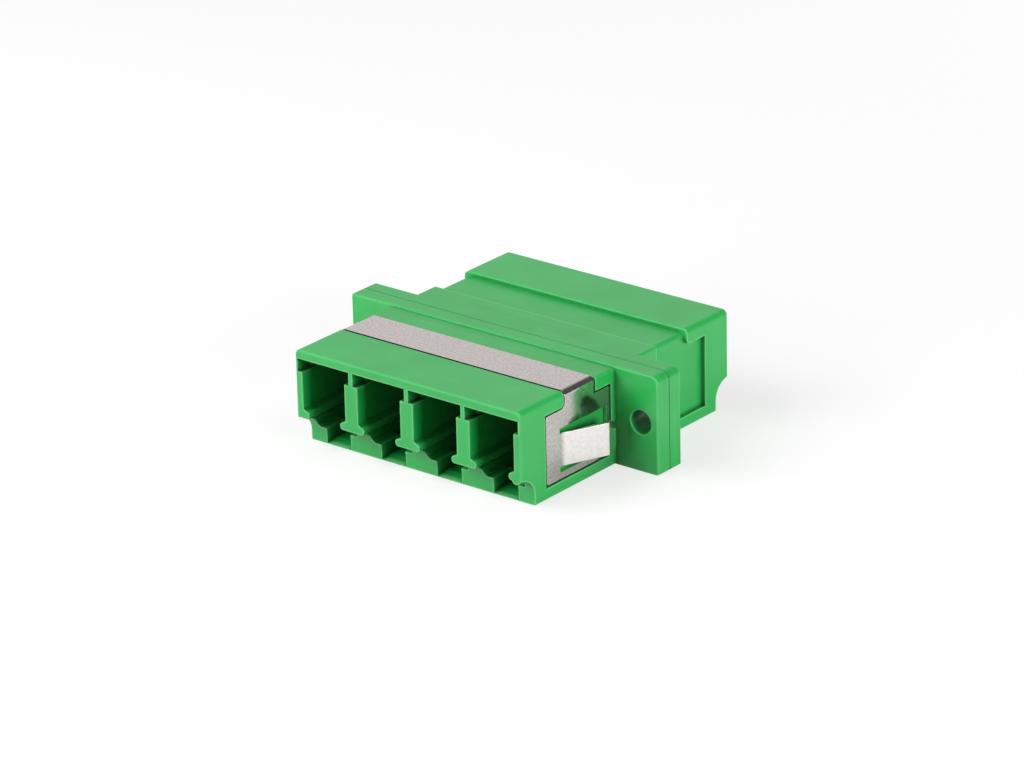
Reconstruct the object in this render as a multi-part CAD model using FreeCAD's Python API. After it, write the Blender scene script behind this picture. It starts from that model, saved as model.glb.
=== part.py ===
import FreeCAD, Part
import math
import os

os.makedirs("parts", exist_ok=True)

Vector = FreeCAD.Vector

# ======================================================================
# LC fibre adapter: four ports a side, panel flange, folded spring clip.
#
# X runs across the row of ports, Y along the plugs, Z up. The origin is
# at the middle of the underside, on the seam where the two moulded
# halves meet. The front half lies at negative Y. All sizes are in mm.
# ======================================================================

# ---- Row of ports, set by the plug it takes ---------------------------
port_count = 4
port_pitch = 6.25            # between neighbouring port centres
port_width = 4.82            # between the side rails that guide the plug
ledge_gap = 3.58             # between the two ledges that carry the plug
lug_width = 4.55             # room under the ledges for the latch's lugs
channel_width = 2.72         # slot at the bottom for the latch's nose
web_thickness = 0.43         # web between two ports, above the rails
side_wall = 0.25             # outer wall beside the relief of an end port

# ---- Heights inside a port --------------------------------------------
floor_thickness = 0.30       # floor under the latch channel
shelf_height = 1.47          # top of the catch beside the latch channel
ledge_underside = 2.75
ledge_thickness = 0.69
rail_height = 7.08           # where the rails stop and the relief begins
roof_underside = 8.30
plug_height = 4.52           # square front of the plug
plug_clearance = 0.09        # between the plug and the ledges

# ---- Body -------------------------------------------------------------
half_length = 14.70          # from the seam to the mouth of the ports
body_height = 9.12           # top of the raised nose, and of the flange
recess_height = 8.72         # floor of the clip's recess in the top
collar_height = 8.96         # top of the collar beside the flange
nose_end = 8.72              # raised nose starts this far from the seam
collar_length = 4.34         # collar reaches this far from the seam
foot_setback = 1.83          # bottom front stands this far behind the mouth
foot_drop = 0.32             # rounded foot under the right end wall, at the mouth
foot_width = 0.90
foot_length = 0.80
foot_radius = 0.42
nose_edge_radius = 0.50
recess_edge_radius = 0.40
collar_edge_radius = 0.25
base_bevel = 0.10            # along the edges of the underside
mouth_chamfer = 0.12
step_edge_radius = 0.15

# ---- Side pockets for the clip's plates --------------------------------
pocket_depth = 0.43
pocket_front = 11.33         # distances from the seam
pocket_back = 2.22
pocket_bottom = 1.05         # height of the pocket's lower edge
pocket_top = 7.72            # height of its upper edge under nose and collar
notch_radius = 0.42          # rounded corner of the nose above the pocket

# ---- Insides of a port --------------------------------------------------
relief_depth = 1.55          # straight part of the relief, from the mouth
relief_taper = 0.85          # sloping end of the relief
catch_depth = 2.55           # catch, behind the set-back front
lug_pocket_end = 5.40        # lug pocket ends this far from the seam
partition = 1.90             # wall between the ports of a half and the seam
ramp_length = 1.20           # lead-in at the front of the latch channel
ramp_drop = 0.22
ledge_edge_bevel = 0.18      # upper and lower edge of a ledge
ledge_root_width = 0.28      # bevel where a ledge meets its rail
ledge_root_height = 0.18
shelf_root_bevel = 0.25      # bevel where the catch meets the web

# ---- Flange ---------------------------------------------------------------
flange_width = 34.32
flange_half_thickness = 1.65
right_ear_radius = 0.70      # upper corners of the two ears
left_ear_radius = 0.25
flange_base_bevel = 0.10
flange_edge_chamfer = 0.12
seam_gap = 0.04              # fine groove round the seam, in each half
seam_depth = 0.20
hole_spacing = 30.60
hole_diameter = 2.20
hole_height = 4.55
hole_chamfer = 0.07
peg_diameter = 0.90          # pegs that line the halves up for welding
peg_length = 0.80
peg_offset = 0.90            # from the body's side to a peg's axis
left_peg_height = 7.10       # one peg in each ear, on a diagonal
right_peg_height = 2.00
peg_clearance = 0.05

# ---- Alignment sleeves and their barrels ---------------------------------
ferrule_diameter = 1.25
sleeve_bore = 1.246          # a little under the ferrule, so that it grips
sleeve_outer = 1.62
sleeve_length = 6.80
sleeve_slit = 0.35
sleeve_clearance = 0.06      # around the sleeve
sleeve_end_gap = 0.10        # at each end of the sleeve
barrel_wall = 0.42
lip_thickness = 0.55         # lip that keeps the sleeve in its barrel
lip_clearance = 0.09         # between the lip's hole and the ferrule

# ---- Spring clip ------------------------------------------------------------
sheet = 0.30                 # thickness of the spring steel
clip_clearance = 0.08        # between the sheet and the housing behind it
clip_edge_gap = 0.17         # between the sheet's edges and the recess
clip_bend_radius = 0.20      # inside of the bends from top to sides
plate_corner_radius = 0.25
window_front = 9.30          # distances of the plate's window from the seam
window_back = 2.78
window_bottom = 1.82
window_top = 5.87
tab_bottom = 2.36
tab_height = 3.02
tab_root = 8.95              # where the tab's bend begins
tab_angle = 24.0             # how far the tab leans out of its plate
panel_thickness = 2.00       # thickest panel that goes between tab and flange
panel_clearance = 0.03
tab_return_angle = 31.0      # bend back at the tab's free end
tab_return_length = 1.15
tab_bend_radius = 0.30
tab_tip_radius = 0.80        # rounded corners of the free end

# ---- Worked out from the sizes above ----------------------------------------
relief_width = port_pitch - web_thickness
body_width = (port_count - 1) * port_pitch + relief_width + 2 * side_wall
half_width = body_width / 2
ledge_top = ledge_underside + ledge_thickness
port_axis_height = ledge_top + plug_clearance + plug_height / 2
pocket_floor = half_width - pocket_depth
barrel_bore = sleeve_outer + 2 * sleeve_clearance
barrel_outer = barrel_bore + 2 * barrel_wall
sleeve_seat = sleeve_length / 2 + sleeve_end_gap
barrel_end = sleeve_seat + lip_thickness
port_centres = [(index - (port_count - 1) / 2) * port_pitch for index in range(port_count)]
beyond = 1.0                 # how far cutting tools run past a face


# ======================================================================
# Drawing helpers
# ======================================================================

def in_xz(u, v):
    """A point of an outline drawn across the body, seen along Y."""
    return Vector(u, 0, v)


def in_yz(u, v):
    """A point of an outline drawn on the body's side, seen along X."""
    return Vector(0, u, v)


def in_xy(u, v):
    """A point of an outline drawn on the top, seen along Z."""
    return Vector(u, v, 0)


def outline(corners, place):
    """Closed wire through corners (u, v, radius), each rounded by a tangent arc."""
    points = [place(u, v) for u, v, radius in corners]
    count = len(points)
    starts = []
    ends = []
    arcs = []
    for index, (u, v, radius) in enumerate(corners):
        here = points[index]
        to_last = (points[index - 1] - here).normalize()
        to_next = (points[(index + 1) % count] - here).normalize()
        if radius == 0:
            starts.append(here)
            ends.append(here)
            arcs.append(None)
            continue
        half_angle = to_last.getAngle(to_next) / 2
        setback = radius / math.tan(half_angle)
        bisector = (to_last + to_next).normalize()
        start = here + to_last * setback
        end = here + to_next * setback
        middle = here + bisector * (radius / math.sin(half_angle) - radius)
        starts.append(start)
        ends.append(end)
        arcs.append(Part.Arc(start, middle, end).toShape())
    edges = []
    for index in range(count):
        if arcs[index] is not None:
            edges.append(arcs[index])
        following = (index + 1) % count
        if ends[index].distanceToPoint(starts[following]) > 1e-6:
            edges.append(Part.LineSegment(ends[index], starts[following]).toShape())
    return Part.Wire(edges)


def prism(corners, place, start, stop):
    """Solid made by pushing an outline along the axis across its plane."""
    along = place(1, 0).cross(place(0, 1))
    axis = Vector(abs(along.x), abs(along.y), abs(along.z))
    face = Part.Face(outline(corners, place))
    face.translate(axis * start)
    return face.extrude(axis * (stop - start))


def block(x_range, y_range, z_range):
    """Box between two values of X, Y and Z."""
    low = Vector(x_range[0], y_range[0], z_range[0])
    return Part.makeBox(x_range[1] - x_range[0], y_range[1] - y_range[0],
                        z_range[1] - z_range[0], low)


def rod(diameter, x, z, start, stop):
    """Cylinder along Y."""
    return Part.makeCylinder(diameter / 2, stop - start, Vector(x, start, z), Vector(0, 1, 0))


def funnel(start_diameter, end_diameter, x, z, start, stop):
    """Cone along Y, for the eased rim of a hole."""
    return Part.makeCone(start_diameter / 2, end_diameter / 2, stop - start,
                         Vector(x, start, z), Vector(0, 1, 0))


def mirrored(right_side):
    """Closed list of corners from its right side, drawn from bottom to top."""
    left_side = [(-u, v, radius) for u, v, radius in reversed(right_side)]
    return right_side + left_side


def edges_in_plane(shape, y):
    """Edges that lie wholly in the plane at y."""
    return [edge for edge in shape.Edges
            if abs(edge.BoundBox.YMin - y) < 1e-6 and abs(edge.BoundBox.YMax - y) < 1e-6]


def upright_section(half, top, top_radius, bevel):
    """Cross-section with a flat base, bevelled below and rounded above."""
    return mirrored([(half - bevel, 0, 0), (half, bevel, 0), (half, top, top_radius)])


# ======================================================================
# One moulded half, drawn as the front one
# ======================================================================

def nose():
    """Raised end with the mouths of the ports, undercut by a round cove."""
    solid = prism(upright_section(half_width, body_height, nose_edge_radius, base_bevel),
                  in_xz, -half_length, -nose_end)
    solid = solid.makeChamfer(mouth_chamfer, edges_in_plane(solid, -half_length))
    return solid.cut(step_rounding())


def step_rounding():
    """What is cut off to round the edge where the nose steps down to the clip."""
    inside = step_edge_radius
    corner = prism([(-nose_end - inside, body_height - inside, 0),
                    (-nose_end + beyond, body_height - inside, 0),
                    (-nose_end + beyond, body_height + beyond, 0),
                    (-nose_end - inside, body_height + beyond, 0)],
                   in_yz, -half_width - beyond, half_width + beyond)
    kept = Part.makeCylinder(step_edge_radius, 2 * (half_width + beyond),
                             Vector(-half_width - beyond, -nose_end - inside, body_height - inside),
                             Vector(1, 0, 0))
    return corner.cut(kept)


def cove():
    """Space under the mouth, a quarter round followed by an upright front."""
    front = -half_length - beyond
    back = -half_length + foot_setback
    corners = [(front, -beyond, 0), (back, -beyond, 0),
               (back, ledge_underside, foot_setback - 1e-3), (front, ledge_underside, 0)]
    return prism(corners, in_yz, -half_width - beyond, half_width + beyond)


def body_core():
    """Outside of the half without its flange, pockets and ports."""
    recess = prism(upright_section(pocket_floor, recess_height, recess_edge_radius, base_bevel),
                   in_xz, -nose_end, -collar_length)
    keel = prism(upright_section(half_width, pocket_bottom + beyond, 0, base_bevel),
                 in_xz, -nose_end, -collar_length)
    collar = prism(upright_section(half_width, collar_height, collar_edge_radius, base_bevel),
                   in_xz, -collar_length, 0)
    return nose().fuse([recess, keel, collar]).cut(cove())


def pocket_outline(inset, corner_radius, step_radius):
    """Outline shared by the side pocket and, drawn smaller, by the clip's plate."""
    above = body_height + beyond
    front = -pocket_front + inset
    back = -pocket_back - inset
    bottom = pocket_bottom + inset
    top = pocket_top - inset
    return [(front, bottom, corner_radius), (back, bottom, corner_radius),
            (back, top, corner_radius), (-collar_length - inset, top, 0),
            (-collar_length - inset, above, 0), (-nose_end + inset, above, 0),
            (-nose_end + inset, top, step_radius), (front, top, corner_radius)]


def side_pockets():
    """The two recesses that hold the clip's side plates."""
    corners = pocket_outline(0, 0, notch_radius)
    right = prism(corners, in_yz, pocket_floor, half_width + beyond)
    left = prism(corners, in_yz, -half_width - beyond, -pocket_floor)
    return [left, right]


def flange_outline(inset):
    """Outline of the flange, drawn smaller by an inset. Its two ears differ at the top."""
    half = flange_width / 2 - inset
    top = body_height - inset
    shoulder = inset + flange_base_bevel
    return [(half - flange_base_bevel, inset, 0), (half, shoulder, 0),
            (half, top, max(right_ear_radius - inset, 0)),
            (-half, top, max(left_ear_radius - inset, 0)),
            (-half, shoulder, 0), (-half + flange_base_bevel, inset, 0)]


def flange_half():
    """Half of the panel flange, eased in front and set back in a fine groove at the seam."""
    plate = prism(flange_outline(0), in_xz, -flange_half_thickness, -seam_gap)
    front_edges = edges_in_plane(plate, -flange_half_thickness)
    eased = [edge for edge in front_edges if edge.BoundBox.ZMax > flange_base_bevel + 1e-6]
    plate = plate.makeChamfer(flange_edge_chamfer, eased)
    seat = prism(flange_outline(seam_depth), in_xz, -flange_half_thickness / 2, 0)
    return plate.fuse(seat)


def flange_holes():
    """Mounting holes through the ears, with an eased rim on the outer face."""
    tools = []
    rim = hole_diameter + 2 * hole_chamfer
    for x in (-hole_spacing / 2, hole_spacing / 2):
        tools.append(rod(hole_diameter, x, hole_height, -flange_half_thickness - beyond, beyond))
        tools.append(funnel(rim, hole_diameter, x, hole_height, -flange_half_thickness,
                            -flange_half_thickness + hole_chamfer))
    return tools


def port_section():
    """Section of a port: latch channel, lug space, ledges and guide rails."""
    right_side = [(channel_width / 2, floor_thickness, 0),
                  (channel_width / 2, shelf_height, 0),
                  (lug_width / 2 - shelf_root_bevel, shelf_height, 0),
                  (lug_width / 2, shelf_height + shelf_root_bevel, 0),
                  (lug_width / 2, ledge_underside, 0),
                  (ledge_gap / 2 + ledge_edge_bevel, ledge_underside, 0),
                  (ledge_gap / 2, ledge_underside + ledge_edge_bevel, 0),
                  (ledge_gap / 2, ledge_top - ledge_edge_bevel, 0),
                  (ledge_gap / 2 + ledge_edge_bevel, ledge_top, 0),
                  (port_width / 2 - ledge_root_width, ledge_top, 0),
                  (port_width / 2, ledge_top + ledge_root_height, 0),
                  (port_width / 2, roof_underside, 0)]
    return mirrored(right_side)


def port_space(centre):
    """Everything that is hollow in one port, as cutting tools."""
    mouth = -half_length - beyond
    main = prism(port_section(), in_xz, mouth, -partition)

    straight_end = -half_length + relief_depth
    taper_end = straight_end + relief_taper
    relief = prism([(relief_width / 2, mouth, 0), (relief_width / 2, straight_end, 0),
                    (port_width / 2, taper_end, 0), (-port_width / 2, taper_end, 0),
                    (-relief_width / 2, straight_end, 0), (-relief_width / 2, mouth, 0)],
                   in_xy, rail_height, roof_underside)

    catch_back = -half_length + foot_setback + catch_depth
    lug_pocket = block((-lug_width / 2, lug_width / 2), (catch_back, -lug_pocket_end),
                       (floor_thickness, shelf_height + shelf_root_bevel))

    front = -half_length + foot_setback
    ramp = prism([(front - beyond, floor_thickness - ramp_drop, 0),
                  (front, floor_thickness - ramp_drop, 0),
                  (front + ramp_length, floor_thickness, 0),
                  (front + ramp_length, shelf_height, 0),
                  (front - beyond, shelf_height, 0)],
                 in_yz, -channel_width / 2, channel_width / 2)

    tools = [main, relief, lug_pocket, ramp]
    for tool in tools:
        tool.translate(Vector(centre, 0, 0))
    return tools


def barrel(centre):
    """Tube that stands out of the partition and holds half of a sleeve."""
    return rod(barrel_outer, centre, port_axis_height, -barrel_end, -partition)


def barrel_space(centre):
    """Seat of the sleeve, and the hole in the lip, where the ferrule goes in."""
    lip_hole = ferrule_diameter + 2 * lip_clearance
    height = port_axis_height
    return [rod(barrel_bore, centre, height, -sleeve_seat, beyond),
            rod(lip_hole, centre, height, -barrel_end - beyond, 0)]


def housing_half():
    """The moulding that both halves share, drawn at negative Y."""
    solid = body_core().cut(side_pockets()).fuse(flange_half())
    spaces = []
    barrels = []
    bores = []
    for centre in port_centres:
        spaces += port_space(centre)
        barrels.append(barrel(centre))
        bores += barrel_space(centre)
    solid = solid.cut(spaces).fuse(barrels).cut(bores).cut(flange_holes())
    return solid.removeSplitter()


def peg_places():
    """Where the locating pegs stand, as (x, z)."""
    x = half_width + peg_offset
    return [(-x, left_peg_height), (x, right_peg_height)]


def end_foot():
    """Rounded foot that hangs under the right end wall, at the mouth."""
    right = half_width - mouth_chamfer
    left = right - foot_width
    bottom = ledge_underside - foot_drop
    top = ledge_underside + ledge_thickness / 2
    return prism([(left, bottom, foot_radius), (right, bottom, foot_radius),
                  (right, top, 0), (left, top, 0)],
                 in_xz, -half_length, -half_length + foot_length)


def front_housing(half):
    """Front moulding: the shared half with its foot and its locating pegs."""
    pegs = [rod(peg_diameter, x, z, -flange_half_thickness / 2, peg_length)
            for x, z in peg_places()]
    return half.fuse([end_foot()] + pegs).removeSplitter()


def rear_housing(half):
    """Rear moulding: the mirror image, with a blind hole for each peg."""
    turned = half.mirror(Vector(0, 0, 0), Vector(0, 1, 0))
    hole = peg_diameter + 2 * peg_clearance
    sockets = [rod(hole, x, z, -beyond, peg_length + peg_clearance) for x, z in peg_places()]
    return turned.cut(sockets)


# ======================================================================
# Split sleeves
# ======================================================================

def alignment_sleeve(centre):
    """Ceramic tube slit from end to end, so that it grips both ferrules."""
    height = port_axis_height
    start = -sleeve_length / 2
    stop = sleeve_length / 2
    tube = rod(sleeve_outer, centre, height, start, stop)
    tube = tube.cut(rod(sleeve_bore, centre, height, start - beyond, stop + beyond))
    slit = block((centre - sleeve_slit / 2, centre + sleeve_slit / 2),
                 (start - beyond, stop + beyond), (height, height + sleeve_outer))
    return tube.cut(slit)


# ======================================================================
# Spring clip, one folded blank
# ======================================================================

def folded_strip(path, radii, thickness):
    """Corners of a strip of sheet that lies on the left of a bent path.

    Each bend has its given radius inside, and outside that radius plus the
    thickness of the sheet. The two ends of the path have a radius of 0.
    """
    count = len(path)
    directions = []
    for start, end in zip(path, path[1:]):
        run = math.hypot(end[0] - start[0], end[1] - start[1])
        directions.append(((end[0] - start[0]) / run, (end[1] - start[1]) / run))
    near = []
    far = []
    for index, (u, v) in enumerate(path):
        before = directions[max(index - 1, 0)]
        after = directions[min(index, count - 2)]
        turn = before[0] * after[1] - before[1] * after[0]
        half_turn = math.atan2(turn, before[0] * after[0] + before[1] * after[1]) / 2
        middle_angle = math.atan2(before[1], before[0]) + half_turn
        spread = thickness / math.cos(half_turn)
        near_radius = radii[index]
        far_radius = radii[index]
        if turn > 0:
            near_radius += thickness
        elif turn < 0:
            far_radius += thickness
        near.append((u, v, near_radius))
        far.append((u - spread * math.sin(middle_angle), v + spread * math.cos(middle_angle),
                    far_radius))
    return near + list(reversed(far))


def saddle():
    """Top strip and side plates: the folded section cut to the blank's outline."""
    inner = pocket_floor + clip_clearance
    top = recess_height + clip_clearance
    base = pocket_bottom
    path = [(-inner, base), (-inner, top), (inner, top), (inner, base)]
    radii = (0, clip_bend_radius, clip_bend_radius, 0)
    section = prism(folded_strip(path, radii, sheet), in_xz, -pocket_front, -pocket_back)
    corners = pocket_outline(clip_edge_gap, plate_corner_radius, notch_radius + clip_edge_gap)
    blank = prism(corners, in_yz, -half_width - beyond, half_width + beyond)
    return section.common(blank)


def window():
    """Opening punched round the tab, with a relief slot above and below its root."""
    across = (-half_width - beyond, half_width + beyond)
    middle = block(across, (-tab_root, -window_back), (window_bottom, window_top))
    lower = block(across, (-window_front, -window_back), (window_bottom, tab_bottom))
    upper = block(across, (-window_front, -window_back), (tab_bottom + tab_height, window_top))
    return [middle, lower, upper]


def tab():
    """Sprung tab on the right plate: leans out, then turns back towards its tip.

    The tip stops short of the flange by the panel that the two of them clamp.
    """
    inner = pocket_floor + clip_clearance
    lean = math.radians(tab_angle)
    turned = math.radians(tab_angle - tab_return_angle)
    tip_y = -flange_half_thickness - panel_thickness - panel_clearance
    bend_y = tip_y - tab_return_length * math.cos(turned)
    bend = (inner + (tab_root + bend_y) * math.tan(lean), bend_y)
    tip = (bend[0] + tab_return_length * math.sin(turned), tip_y)
    root = (inner, -window_front - sheet)
    path = [tip, bend, (inner, -tab_root), root]
    strip = folded_strip(path, (0, tab_bend_radius, tab_bend_radius, 0), sheet)
    top = tab_bottom + tab_height
    corners = [(root[1], tab_bottom, 0), (tip[1], tab_bottom, tab_tip_radius),
               (tip[1], top, tab_tip_radius), (root[1], top, 0)]
    rounded = prism(corners, in_yz, inner - beyond, bend[0] + beyond)
    return prism(strip, in_xy, tab_bottom, top).common(rounded)


def panel_clip():
    """The whole clip: saddle, windows and the two mirrored tabs."""
    right = tab()
    left = right.mirror(Vector(0, 0, 0), Vector(1, 0, 0))
    return saddle().cut(window()).fuse([left, right]).removeSplitter()


# ======================================================================
# Files
# ======================================================================

def save(name, shape):
    """Write one piece, as one solid, to its own file."""
    solids = shape.Solids
    print(name, "solids", len(solids), "volume", round(shape.Volume, 3), "valid", shape.isValid())
    solids[0].exportStep("parts/" + name + ".step")


half = housing_half()
save("front_housing", front_housing(half))
save("rear_housing", rear_housing(half))
save("panel_clip", panel_clip())
for index, centre in enumerate(port_centres):
    save("alignment_sleeve_" + str(index + 1), alignment_sleeve(centre))
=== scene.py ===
# %% [markdown]
# # A four-port LC fibre adapter
#
# The object is a panel adapter for fibre-optic plugs. Two green moulded halves meet at a
# flange, a folded spring-steel clip is wrapped over the front half, and four split ceramic
# sleeves sit inside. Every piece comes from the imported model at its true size, so this
# lesson is about finishes, light and camera. We begin by loading that model.

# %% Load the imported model
import math

import bpy
import numpy as np
from mathutils import Matrix, Vector


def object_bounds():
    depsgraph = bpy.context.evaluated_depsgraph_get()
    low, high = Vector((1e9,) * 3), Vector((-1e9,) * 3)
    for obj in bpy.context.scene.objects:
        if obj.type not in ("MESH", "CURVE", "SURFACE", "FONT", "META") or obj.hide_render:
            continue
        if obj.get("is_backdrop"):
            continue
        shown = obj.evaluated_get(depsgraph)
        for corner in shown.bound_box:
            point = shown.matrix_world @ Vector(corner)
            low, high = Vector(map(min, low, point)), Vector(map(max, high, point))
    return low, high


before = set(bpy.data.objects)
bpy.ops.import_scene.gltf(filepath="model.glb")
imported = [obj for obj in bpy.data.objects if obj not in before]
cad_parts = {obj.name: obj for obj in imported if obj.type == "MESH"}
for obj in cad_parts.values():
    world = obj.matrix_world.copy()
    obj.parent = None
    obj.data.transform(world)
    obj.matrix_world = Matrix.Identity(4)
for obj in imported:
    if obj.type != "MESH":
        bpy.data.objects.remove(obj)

MM = 0.001
low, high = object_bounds()
centre = (low + high) / 2
reach = (high - low).length / 2          # half the diagonal of the whole part
scene = bpy.context.scene
print("nodes:", sorted(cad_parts))
print("size in mm:", [round(1000 * side, 2) for side in high - low])

# %% [markdown]
# ## Colours as a paint chart gives them
#
# Paint charts and screens give a colour as three numbers from 0 to 255, which are spaced for
# the eye. Light adds up in a linear scale, where half-way grey is much darker. We keep the
# chart's numbers, because they are easier to judge, and turn them into linear ones in code.

# %% Colours
def linear(red, green, blue):
    """sRGB 0..255 to linear RGBA: c / 12.92 below 0.04045, ((c + 0.055) / 1.055) ** 2.4 above."""
    c = np.array([red, green, blue]) / 255
    low_part = c / 12.92
    high_part = ((c + 0.055) / 1.055) ** 2.4
    return [*np.where(c <= 0.04045, low_part, high_part), 1.0]


print("half-way grey in linear light:", round(float(linear(128, 128, 128)[0]), 3))

# %% [markdown]
# ## Small helpers for shader nodes
#
# A material is a graph of nodes. Writing each link by hand soon hides what the graph does,
# so a few short helpers do the typing. The first one places any node. The others place the
# three nodes that this lesson needs most: one that lays a stretch of values over another,
# one for sums, and one that mixes colours.

# %% Node helpers
def add_node(tree, kind, inputs=None, **settings):
    """Add a node of one kind, set its properties, and set or link its inputs."""
    node = tree.nodes.new("ShaderNode" + kind)
    for name, value in settings.items():
        setattr(node, name, value)
    for name, value in (inputs or {}).items():
        if isinstance(value, bpy.types.NodeSocket):
            tree.links.new(value, node.inputs[name])
        else:
            node.inputs[name].default_value = value
    return node


def spread(tree, value, first, last, start=0.0, end=1.0):
    """The stretch of a value from first to last, laid over start to end and held past them."""
    node = add_node(tree, "MapRange", {"Value": value, "From Min": first, "From Max": last,
                                       "To Min": start, "To Max": end})
    return node.outputs["Result"]


def combine(tree, operation, first, second):
    """Two values joined by one operation, such as MULTIPLY or MINIMUM."""
    return add_node(tree, "Math", {0: first, 1: second}, operation=operation).outputs[0]


def mix(tree, share, first, second, blend="MIX"):
    """A colour that goes from the first to the second as the share goes from 0 to 1."""
    node = add_node(tree, "MixRGB", {"Fac": share, "Color1": first, "Color2": second},
                    blend_type=blend)
    return node.outputs["Color"]


print("helpers:", [helper.__name__ for helper in (add_node, spread, combine, mix)])

# %% [markdown]
# ## Shared effects
#
# Some effects belong to more than one material. Each could be wired again in every material,
# but then a change has to be made in all of them. So each is built once, as a node group with
# named inputs and outputs, and then placed in a material with its own values.

# %% Start a group
def start_group(name, inputs, outputs):
    """An empty group with named sockets. It returns what the group is given and must fill."""
    group = bpy.data.node_groups.new(name, "ShaderNodeTree")
    for label, kind in inputs.items():
        group.interface.new_socket(label, in_out="INPUT", socket_type="NodeSocket" + kind)
    for label, kind in outputs.items():
        group.interface.new_socket(label, in_out="OUTPUT", socket_type="NodeSocket" + kind)
    given = group.nodes.new("NodeGroupInput").outputs
    result = group.nodes.new("NodeGroupOutput").inputs
    return group, given, result


print("groups so far:", len(bpy.data.node_groups))

# %% [markdown]
# ### Mottle
#
# No moulded or rolled surface is even. It has a fine grain, left by the mould or the
# rollers, and its colour drifts a little over a larger distance. Two noise textures on
# object coordinates give both, so the pattern stays fixed to the piece. The grain can be
# stretched along an axis, which turns its dots into streaks or lines.

# %% Mottle
def make_mottle():
    """Grain is fine noise along stretched object axes, and Drift is broad, smooth noise."""
    group, given, result = start_group(
        "mottle", {"Stretch": "Vector", "Grains per metre": "Float", "Patches per metre": "Float"},
        {"Grain": "Float", "Drift": "Float"})
    place = add_node(group, "TexCoord").outputs["Object"]
    stretched = add_node(group, "VectorMath", {0: place, 1: given["Stretch"]},
                         operation="MULTIPLY")
    fine = add_node(group, "TexNoise", {"Vector": stretched.outputs["Vector"],
                                        "Scale": given["Grains per metre"],
                                        "Detail": 3.0, "Roughness": 0.6})
    broad = add_node(group, "TexNoise", {"Vector": place, "Scale": given["Patches per metre"],
                                         "Detail": 2.0})
    group.links.new(fine.outputs["Fac"], result["Grain"])
    group.links.new(broad.outputs["Fac"], result["Drift"])
    return group


def mottle(tree, stretch, grains, patches):
    """Place the mottle: it returns the Grain and the Drift. Both counts are per metre."""
    node = add_node(tree, "Group", {"Stretch": stretch, "Grains per metre": grains,
                                    "Patches per metre": patches}, node_tree=mottle_group)
    return node.outputs["Grain"], node.outputs["Drift"]


mottle_group = make_mottle()
print("group:", mottle_group.name, "with", len(mottle_group.nodes), "nodes")

# %% [markdown]
# ### Skin
#
# Real edges are never sharp, and grain can be felt. Rounding every edge in the mesh would
# cost many triangles. A Bevel node only bends the normals near an edge, which is enough at
# these small radii. The grain then tilts the rounded normals by its slope.

# %% Skin
GRAIN_DEPTH = 0.01 * MM


def make_skin():
    """Normals averaged within the edge radius, then tilted by the slope of the grain."""
    group, given, result = start_group(
        "skin", {"Grain": "Float", "Edge radius": "Float", "Feel": "Float"}, {"Normal": "Vector"})
    rounded = add_node(group, "Bevel", {"Radius": given["Edge radius"]}, samples=4)
    bump = add_node(group, "Bump", {"Height": given["Grain"], "Strength": given["Feel"],
                                    "Distance": GRAIN_DEPTH, "Normal": rounded.outputs["Normal"]})
    group.links.new(bump.outputs["Normal"], result["Normal"])
    return group


def skin(tree, grain, edge_radius, feel):
    """Place the skin: it returns the normal for the shader. Feel is from 0 to 1."""
    node = add_node(tree, "Group", {"Grain": grain, "Edge radius": edge_radius, "Feel": feel},
                    node_tree=skin_group)
    return node.outputs["Normal"]


skin_group = make_skin()
print("group:", skin_group.name, "with", len(skin_group.nodes), "nodes")

# %% [markdown]
# ### Band
#
# Some marks belong to one zone only, such as the flange or the tabs of the clip. The part is
# almost the same on both sides of its middle, so one mask serves for both sides: the
# distance from the middle along one axis, turned into 1 near the middle and 0 further out.

# %% Band
WIDTH_AXIS = (1, 0, 0)
PLUG_AXIS = (0, 1, 0)


def make_band():
    """1 where the distance from the middle along an axis is under Inner, 0 past Outer."""
    group, given, result = start_group(
        "band", {"Axis": "Vector", "Inner": "Float", "Outer": "Float"}, {"Mask": "Float"})
    place = add_node(group, "TexCoord").outputs["Object"]
    along = add_node(group, "VectorMath", {0: place, 1: given["Axis"]}, operation="DOT_PRODUCT")
    distance = add_node(group, "Math", {0: along.outputs["Value"]}, operation="ABSOLUTE")
    mask = spread(group, distance.outputs[0], given["Inner"], given["Outer"], start=1.0, end=0.0)
    group.links.new(mask, result["Mask"])
    return group


def band(tree, axis, inner, outer):
    """Place the band: it returns the mask for one axis and two distances from the middle."""
    node = add_node(tree, "Group", {"Axis": axis, "Inner": inner, "Outer": outer},
                    node_tree=band_group)
    return node.outputs["Mask"]


band_group = make_band()
print("group:", band_group.name, "with", len(band_group.nodes), "nodes")

# %% [markdown]
# ## Following the noise
#
# Blender's noise lies mostly between 0.3 and 0.7. Every colour and roughness that follows it
# is laid over that stretch, so that the two values we name are really reached.

# %% Following the noise
NOISE_LOW = 0.3
NOISE_HIGH = 0.7


def follow(tree, noise, first, second):
    """A value that goes from the first to the second with the noise."""
    return spread(tree, noise, NOISE_LOW, NOISE_HIGH, first, second)


def tint(tree, noise, first, second):
    """A colour that goes from the first to the second with the noise."""
    return mix(tree, follow(tree, noise, 0.0, 1.0), first, second)


print("noise is read from", NOISE_LOW, "to", NOISE_HIGH)

# %% [markdown]
# ## Starting and placing a material
#
# Every finish starts from one Principled BSDF. A value that is the same all over the piece,
# such as its index of refraction, is set on the shader itself, and only what changes over
# the surface comes from nodes. A finish is placed through the slots of the piece's own mesh,
# and the shape isn't touched.

# %% Starting and placing a material
def start_material(name, **constants):
    """A material with one Principled BSDF, whose plain values sit on its own sockets."""
    material = bpy.data.materials.new(name)
    material.use_nodes = True
    shader = material.node_tree.nodes["Principled BSDF"]
    for socket, value in constants.items():
        shader.inputs[socket.replace("_", " ")].default_value = value
    return material, material.node_tree, shader


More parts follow.
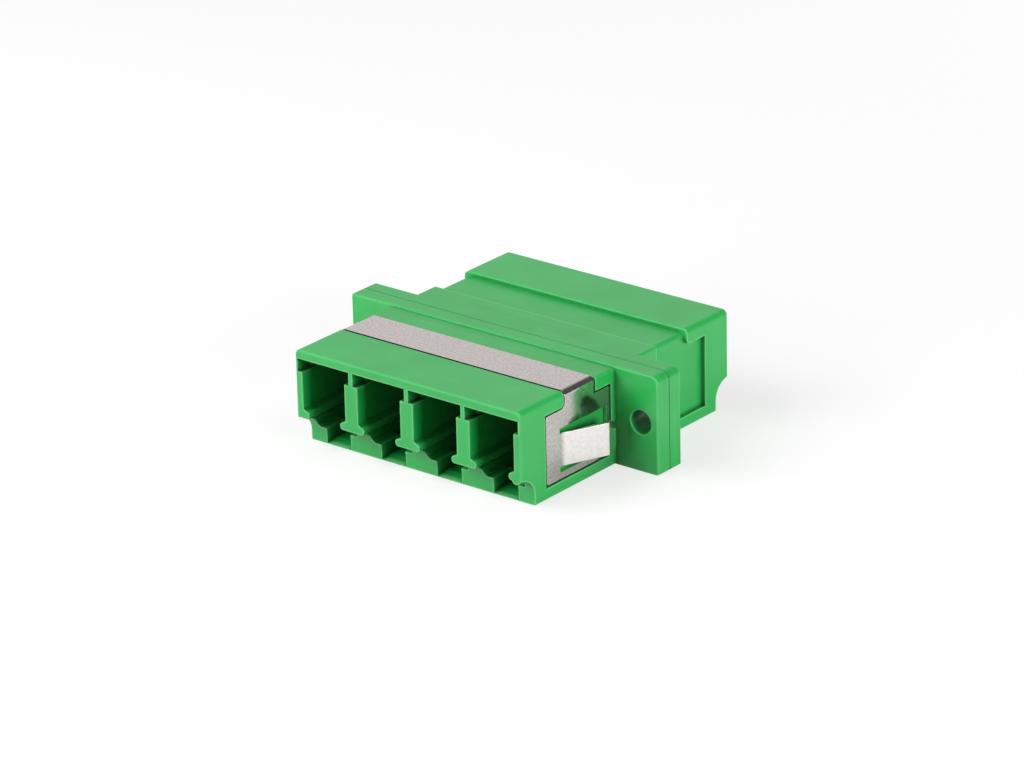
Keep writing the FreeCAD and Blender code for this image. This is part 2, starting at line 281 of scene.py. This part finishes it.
def dress(node, material):
    """Give a CAD node its finish, through the slots of its own mesh."""
    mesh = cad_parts[node].data
    mesh.materials.clear()
    mesh.materials.append(material)
    print(node, "is now", material.name)


print("materials so far:", len(bpy.data.materials))

# %% [markdown]
# ## Green moulded plastic
#
# Fibre adapters are moulded in a saturated green engineering plastic. The pigment itself
# is dark in red and blue, and the paler look of the top faces comes from the gloss that
# reflects bright surroundings at a low angle. So the base colour stays deep, the roughness
# moderate, and the Fresnel term of the shader does the rest.
#
# One green all over would look like painted wood. On the real thing the ports look deeper,
# because little light gets in, and here that shade is painted into the base colour as a darker
# green. How open a place is could be painted by hand, port by port. An Ambient Occlusion node
# measures it instead: it sends short rays from the surface and gives the share that meets no
# wall. Walls of the same piece count in full. Those of other pieces, and the table, count a
# little less.

# %% How open a place is
PORT_REACH = 6 * MM            # a little more than a port's width
NEIGHBOUR_EASE = 0.12          # added to the share in which every piece counts


def free_share(tree, distance, inwards=False, own_walls=True):
    """The share of rays of one length that meet no wall, sent outwards or inwards.

    With own_walls, only the walls of the same piece count, and otherwise those of all.
    """
    node = add_node(tree, "AmbientOcclusion", {"Distance": distance}, samples=8,
                    only_local=own_walls, inside=inwards)
    return node.outputs["AO"]


def openness(tree):
    """The smaller of two shares: with own walls only, and with all walls plus the ease."""
    own_air = free_share(tree, PORT_REACH)
    all_air = free_share(tree, PORT_REACH, own_walls=False)
    eased = combine(tree, "ADD", all_air, NEIGHBOUR_EASE)
    return combine(tree, "MINIMUM", own_air, eased)


print("rays in the ports are", round(PORT_REACH / MM, 1), "mm long")

# %% [markdown]
# ### Painted shade in creases, painted highlight on edges
#
# Shade falls into corners, and it is painted into the colour as a thin dark crease. Edges that
# stand out get a lighter line, partly the wear of handling and partly a painted highlight. Both
# come from the same node. Rays of half a millimetre find the corners. Shorter rays sent into the
# plastic find the edges, because there they soon come out at the next face. The seam between
# the two halves is a fine dark groove, and an edge at the foot of a wall lies in the wall's
# shade, so both are left without a light line.

# %% Painted crease shade and edge highlight
CREASE_REACH = 0.5 * MM
# The lighter line on edges is partly wear and partly a painted highlight.
EDGE_REACH = 0.18 * MM         # the light line is narrower than this
SEAM_INNER = 0.22 * MM         # no light line this close to the seam
SEAM_OUTER = 0.30 * MM         # and a full one from here


def crease_shade_and_edge_highlight(tree):
    """Painted shade: a factor that is 0.6 in tight corners and 1 in the open. Painted highlight: a
    mask of outer edges.
    """
    near_air = free_share(tree, CREASE_REACH)
    # Painted shade: a darker factor in tight corners.
    crease_shade = spread(tree, near_air, first=0.45, last=0.90, start=0.60)
    inner_share = free_share(tree, EDGE_REACH, inwards=True)
    # Painted highlight, with some wear: a mask of outer edges.
    outer_edge = spread(tree, inner_share, first=0.97, last=0.62)
    off_crease = spread(tree, near_air, first=0.78, last=0.96)
    on_seam = band(tree, PLUG_AXIS, SEAM_INNER, SEAM_OUTER)
    off_seam = spread(tree, on_seam, first=1.0, last=0.0)
    allowed = combine(tree, "MULTIPLY", off_crease, off_seam)
    return crease_shade, combine(tree, "MULTIPLY", outer_edge, allowed)


print("light lines are under", round(EDGE_REACH / MM, 2), "mm wide")

# %% [markdown]
# ### Colour, lines, painted shade and highlight
#
# The flange and the collars beside it carry fine parallel lines that the mould's cutter left.
# They run round the part, so the grain for them is stretched almost to lines across the plug
# axis, and a band keeps them near the seam. The colour is then built up as a painter would:
# the drifting green, the lighter edges that are partly wear and partly painted highlight, the
# lines, painted shade for the depth of the ports, and painted shade in the creases.
# In the deepest places the surface is duller, because no gloss gets in or out.

# %% Plastic
GREEN_LOW = linear(24, 168, 71)
GREEN_HIGH = linear(32, 177, 80)
# A lighter green for outer edges: partly wear, partly a painted highlight.
EDGE_WEAR_AND_HIGHLIGHT_GREEN = linear(98, 204, 124)
# A dark green of painted shade, for the ports and the holes in the ears.
PORT_SHADE_GREEN = linear(40, 76, 48)
MOULD_EDGE = 0.08 * MM         # radius of the moulded edges
MILLED_INNER = 2.5 * MM        # lines are full up to here from the seam
MILLED_OUTER = 5.0 * MM        # and gone from here
DEEP_ROUGHNESS = 0.50


def make_plastic():
    """Green with painted shade that deepens it in the ports and darkens creases, lighter edges
    that are partly wear and partly a painted highlight, and milled lines.
    """
    material, tree, shader = start_material("green_plastic", IOR=1.75)
    grain, drift = mottle(tree, stretch=(1, 1, 1), grains=9000, patches=260)
    lines, _ = mottle(tree, stretch=(0.02, 1, 0.02), grains=5000, patches=260)
    open_air = openness(tree)
    crease_shade, edge_wear_and_highlight = crease_shade_and_edge_highlight(tree)
    near_seam = band(tree, PLUG_AXIS, MILLED_INNER, MILLED_OUTER)
    milled = follow(tree, lines, 0.85, 1.06)
    clear_of_port_shade = spread(tree, open_air, first=0.18, last=0.60)

    colour = tint(tree, drift, GREEN_LOW, GREEN_HIGH)
    # Painted highlight, with some wear, along outer edges.
    colour = mix(tree, edge_wear_and_highlight, colour, EDGE_WEAR_AND_HIGHLIGHT_GREEN)
    colour = mix(tree, near_seam, colour, milled, blend="MULTIPLY")
    # Painted shade: deep in the ports and holes the colour turns to the dark green.
    colour = mix(tree, clear_of_port_shade, PORT_SHADE_GREEN, colour)
    # Painted shade in the creases.
    colour = mix(tree, 1.0, colour, crease_shade, blend="MULTIPLY")
    open_roughness = follow(tree, grain, 0.29, 0.37)
    roughness = spread(tree, open_air, first=0.15, last=0.40,
                       start=DEEP_ROUGHNESS, end=open_roughness)
    tree.links.new(colour, shader.inputs["Base Color"])
    tree.links.new(roughness, shader.inputs["Roughness"])
    tree.links.new(skin(tree, grain, MOULD_EDGE, feel=0.12), shader.inputs["Normal"])
    return material


plastic = make_plastic()
dress("front_housing", plastic)
dress("rear_housing", plastic)

# %% [markdown]
# ## Rolled spring steel
#
# The clip is cut from bright rolled stainless strip and folded over the front half. Rolling
# draws the grain out along the strip, so the noise is twice as long that way. The colour is
# a slightly warm, mottled grey, and the grain breaks up what the metal mirrors.
#
# The two sprung tabs rub in the panel's cut-out each time the part is pushed in, and they are
# given a brighter colour than the plates they are cut from. That colour is partly the wear of
# rubbing and partly a painted reflection of the bright table that the leaning tabs mirror.
# They could be picked out by hand as faces. A band across the width does it as well, because
# only the tabs stand out past the outer faces of the plates.

# %% Steel
ROLLED_LOW = linear(200, 191, 190)
ROLLED_HIGH = linear(230, 222, 219)
# The tabs' brighter colour: partly rubbing wear, partly a painted reflection.
RUBBED_AND_REFLECTION_LOW = linear(234, 229, 227)
RUBBED_AND_REFLECTION_HIGH = linear(252, 247, 246)
STEEL_EDGE = 0.03 * MM         # radius of the sheet's edges
PLATE_FACE = 12.50 * MM        # the plates end just before this
TAB_CLEAR = 12.62 * MM         # and the tabs are fully rubbed from here


def make_steel():
    """Warm grey mottle on the strip and plates, and on the tabs a brighter colour: rubbing wear
    and a painted reflection.
    """
    material, tree, shader = start_material("spring_steel", Metallic=1.0)
    grain, drift = mottle(tree, stretch=(0.5, 1, 1), grains=3500, patches=4500)
    rolled = tint(tree, drift, ROLLED_LOW, ROLLED_HIGH)
    rubbed_and_reflection = tint(tree, grain, RUBBED_AND_REFLECTION_LOW, RUBBED_AND_REFLECTION_HIGH)
    on_strip = band(tree, WIDTH_AXIS, PLATE_FACE, TAB_CLEAR)
    # The tabs get the rubbed colour with its painted reflection.
    tree.links.new(mix(tree, on_strip, rubbed_and_reflection, rolled), shader.inputs["Base Color"])
    tree.links.new(follow(tree, grain, 0.10, 0.18), shader.inputs["Roughness"])
    tree.links.new(skin(tree, grain, STEEL_EDGE, feel=0.08), shader.inputs["Normal"])
    return material


dress("panel_clip", make_steel())

# %% [markdown]
# ## Zirconia
#
# The split sleeves are polished zirconia, a dense white ceramic. They are hidden deep inside
# the barrels. They get their finish all the same, so that the part also looks right when it
# is shown cut open or with its pieces apart.

# %% Ceramic
CREAM = linear(232, 228, 219)
WHITE = linear(241, 238, 231)


def make_ceramic():
    """White with a faint cream drift, and a polish that follows the grain."""
    material, tree, shader = start_material("zirconia", IOR=2.1)
    grain, drift = mottle(tree, stretch=(1, 1, 1), grains=12000, patches=700)
    tree.links.new(tint(tree, drift, CREAM, WHITE), shader.inputs["Base Color"])
    tree.links.new(follow(tree, grain, 0.12, 0.18), shader.inputs["Roughness"])
    return material


ceramic = make_ceramic()
for name in sorted(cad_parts):
    if name.startswith("alignment_sleeve"):
        dress(name, ceramic)

# %% [markdown]
# ## A white table
#
# The part lies on a pale table. Three kinds of ray meet that table, and the Light Path node
# tells them apart. Light that bounces up from it is kept low, so that the ports stay deep
# and dark. Gloss sees it as nearly white paper, shaded beside the part. The camera sees it
# white, with the soft shadow of the part left on it.

# %% Floor
FLOOR_HALF = 60                # half of its side, in reaches of the part
BOUNCE_SHADE = 0.25            # grey that scattered light meets
MIRROR_SHADE = 0.92            # grey that gloss shows
SEEN_SHADE = 0.35              # grey that the camera sees, so that the shadow stays soft
SEEN_GLOW = 0.66               # and the plain white that is laid over it


def make_floor():
    """A square sheet: its four corners lie at the height of the part's underside."""
    corners = np.array([[-1, -1, 0], [1, -1, 0], [1, 1, 0], [-1, 1, 0]]) * FLOOR_HALF * reach
    corners[:, 2] = low.z
    mesh = bpy.data.meshes.new("floor")
    mesh.from_pydata(corners.tolist(), [], [[0, 1, 2, 3]])
    floor = bpy.data.objects.new("floor", mesh)
    scene.collection.objects.link(floor)
    return floor


def make_paper():
    """Grey that depends on the kind of ray, and a white glow for the camera alone."""
    material, tree, shader = start_material("table", Roughness=0.9, Specular_IOR_Level=0.1)
    path = add_node(tree, "LightPath").outputs
    unseen = spread(tree, path["Is Glossy Ray"], 0.0, 1.0, BOUNCE_SHADE, MIRROR_SHADE)
    shade = spread(tree, path["Is Camera Ray"], 0.0, 1.0, unseen, SEEN_SHADE)
    tree.links.new(shade, shader.inputs["Base Color"])
    glow = combine(tree, "MULTIPLY", path["Is Camera Ray"], SEEN_GLOW)
    light = add_node(tree, "Emission", {"Color": (1, 1, 1, 1), "Strength": glow})
    both = add_node(tree, "AddShader", {0: shader.outputs[0], 1: light.outputs[0]})
    tree.links.new(both.outputs[0], tree.nodes["Material Output"].inputs["Surface"])
    return material


floor = make_floor()
floor.data.materials.append(make_paper())
floor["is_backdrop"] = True
print("floor side in mm:", round(1000 * floor.dimensions.x))

# %% [markdown]
# ## A light tent
#
# The world stands for a tent of white cloth. It lights the part evenly and a little, and
# the camera sees pure white. What gloss sees in it is another matter, because steel and
# polished plastic look like what stands round them. The tent's left side is bright. Its
# right side and its open top are grey, which keeps the steel readable from every side. A
# black flag at the back right gives the bends of the clip their dark line.

# %% World
TENT_LIGHT = 0.15
BRIGHT_CLOTH = 0.76
GREY_CLOTH = 0.40
BLACK_FLAG = 0.09
SIDE_FADE = (-0.3, 0.2)        # x of the direction in which the cloth falls to grey
TOP_FADE = (0.46, 0.58)        # z in which all of it turns grey
FLAG_SIDE_FADE = (-0.3, 0.0)   # x in which the flag begins
FLAG_BACK_FADE = (0.60, 0.69)  # y in which the flag begins


def make_world():
    """Even light at one level, and cloth, opening and flag at their own in reflections.

    Each fade is read from one part of the direction, (x, y, z), as a stretch from 0 to 1.
    The flag is the product of its two, so it stands only where both have risen.
    """
    world = bpy.data.worlds.new("tent")
    world.use_nodes = True
    scene.world = world
    tree = world.node_tree
    path = add_node(tree, "LightPath").outputs
    in_gloss = combine(tree, "MAXIMUM", path["Is Glossy Ray"], path["Is Transmission Ray"])
    sky = add_node(tree, "TexCoord").outputs["Generated"]
    direction = add_node(tree, "SeparateXYZ", {0: sky}).outputs
    cloth = spread(tree, direction["X"], *SIDE_FADE, BRIGHT_CLOTH, GREY_CLOTH)
    tent = spread(tree, direction["Z"], *TOP_FADE, cloth, GREY_CLOTH)
    flag = combine(tree, "MULTIPLY", spread(tree, direction["X"], *FLAG_SIDE_FADE),
                   spread(tree, direction["Y"], *FLAG_BACK_FADE))
    mirrored = spread(tree, flag, 0.0, 1.0, tent, BLACK_FLAG)
    unseen = spread(tree, in_gloss, 0.0, 1.0, TENT_LIGHT, mirrored)
    strength = spread(tree, path["Is Camera Ray"], 0.0, 1.0, unseen, 1.0)
    background = tree.nodes["Background"]
    background.inputs["Color"].default_value = (1, 1, 1, 1)
    tree.links.new(strength, background.inputs["Strength"])


make_world()
print("world:", scene.world.name, "with", len(scene.world.node_tree.nodes), "nodes")

# %% [markdown]
# ## Four soft boxes
#
# The main light stands above the front left, so the body shades the right ear close to its
# side. A low one in front fills the faces round the ports and hardly reaches their side
# walls. One on the right lights the side of the body, and a weaker one at the back keeps
# the rear ports readable. The main and back ones are left out of gloss, because small
# bevels and the holes in the ears would show them as bright marks. The low boxes are just
# small enough to stay clear of the table.

# %% Lamps
LAMP_DISTANCE = 14             # in reaches of the part
LOW_BOX = 5.6                  # side of a low soft box, in reaches
LOW_ELEVATION = 12             # in degrees


def add_lamp(name, azimuth, elevation, size, level, in_gloss=True):
    """A square soft box that faces the part. Its power makes a white card read the level.

    A box of side s shines with the radiance power / (pi * s**2). A matt white card that
    faces it from the distance d sends back that radiance times s**2 / (pi * d**2), which is
    power / (pi * d)**2. So the power is level * (pi * d)**2.
    """
    azimuth, elevation = math.radians(azimuth), math.radians(elevation)
    away = Vector((math.sin(azimuth) * math.cos(elevation),
                   -math.cos(azimuth) * math.cos(elevation), math.sin(elevation)))
    data = bpy.data.lights.new(name, "AREA")
    data.shape = "SQUARE"
    data.size = size * reach
    data.energy = level * (math.pi * LAMP_DISTANCE * reach) ** 2
    lamp = bpy.data.objects.new(name, data)
    lamp.visible_glossy = in_gloss
    lamp.location = centre + away * LAMP_DISTANCE * reach
    lamp.rotation_mode = "QUATERNION"
    lamp.rotation_quaternion = (-away).to_track_quat("-Z", "Y")
    scene.collection.objects.link(lamp)
    print(f"{name} box: {1000 * data.size:.0f} mm wide, {data.energy:.2f} W")


add_lamp("main", azimuth=-45, elevation=42, size=10, level=0.92, in_gloss=False)
add_lamp("front", azimuth=-8, elevation=LOW_ELEVATION, size=LOW_BOX, level=0.35)
add_lamp("right", azimuth=85, elevation=LOW_ELEVATION, size=LOW_BOX, level=0.82)
add_lamp("back", azimuth=175, elevation=LOW_ELEVATION, size=LOW_BOX, level=0.48, in_gloss=False)

# %% [markdown]
# ## The camera
#
# The camera stands well back with a long lens, to the right and above, and is tipped by a
# degree or so. Its place is given by two angles and a distance from a point near the middle
# of the part, which keeps it readable and easy to change. From those angles we work out
# three directions: back towards the camera, to its right and up, and tip the last two.

# %% Where the camera stands
camera_azimuth = math.radians(39.186)
camera_elevation = math.radians(22.308)
camera_roll = math.radians(-1.345)
camera_distance = 449.994 * MM
aim_left = 0.216 * MM
aim_height = 3.857 * MM

aim = Vector((centre.x - aim_left, centre.y, low.z + aim_height))
back = Vector((math.sin(camera_azimuth) * math.cos(camera_elevation),
               -math.cos(camera_azimuth) * math.cos(camera_elevation),
               math.sin(camera_elevation)))
level_right = Vector((math.cos(camera_azimuth), math.sin(camera_azimuth), 0))
level_up = back.cross(level_right)
right = level_right * math.cos(camera_roll) + level_up * math.sin(camera_roll)
up = level_up * math.cos(camera_roll) - level_right * math.sin(camera_roll)
place = aim + back * camera_distance
print("camera at mm:", [round(1000 * side, 1) for side in place])

# %% [markdown]
# The camera's matrix holds those three directions as its first three columns and its place
# as the last. The lens is given in millimetres for a sensor 36 mm wide.

# %% Camera
camera_data = bpy.data.cameras.new("camera")
camera_data.sensor_width = 36
camera_data.lens = 179.672
camera_data.clip_start = 0.01
camera_data.clip_end = 20
camera = bpy.data.objects.new("camera", camera_data)
camera.matrix_world = Matrix((
    (right.x, up.x, back.x, place.x),
    (right.y, up.y, back.y, place.y),
    (right.z, up.z, back.z, place.z),
    (0, 0, 0, 1)))
scene.collection.objects.link(camera)
scene.camera = camera
scene.view_settings.view_transform = "Standard"
print("lens in mm:", round(camera_data.lens, 1))

# %% [markdown]
#
# The dressed part must stay as large as the construction says, so its size is measured again
# and printed.

# %% Finish
low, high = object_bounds()
print("visual size in mm:", [round(1000 * side, 2) for side in high - low])
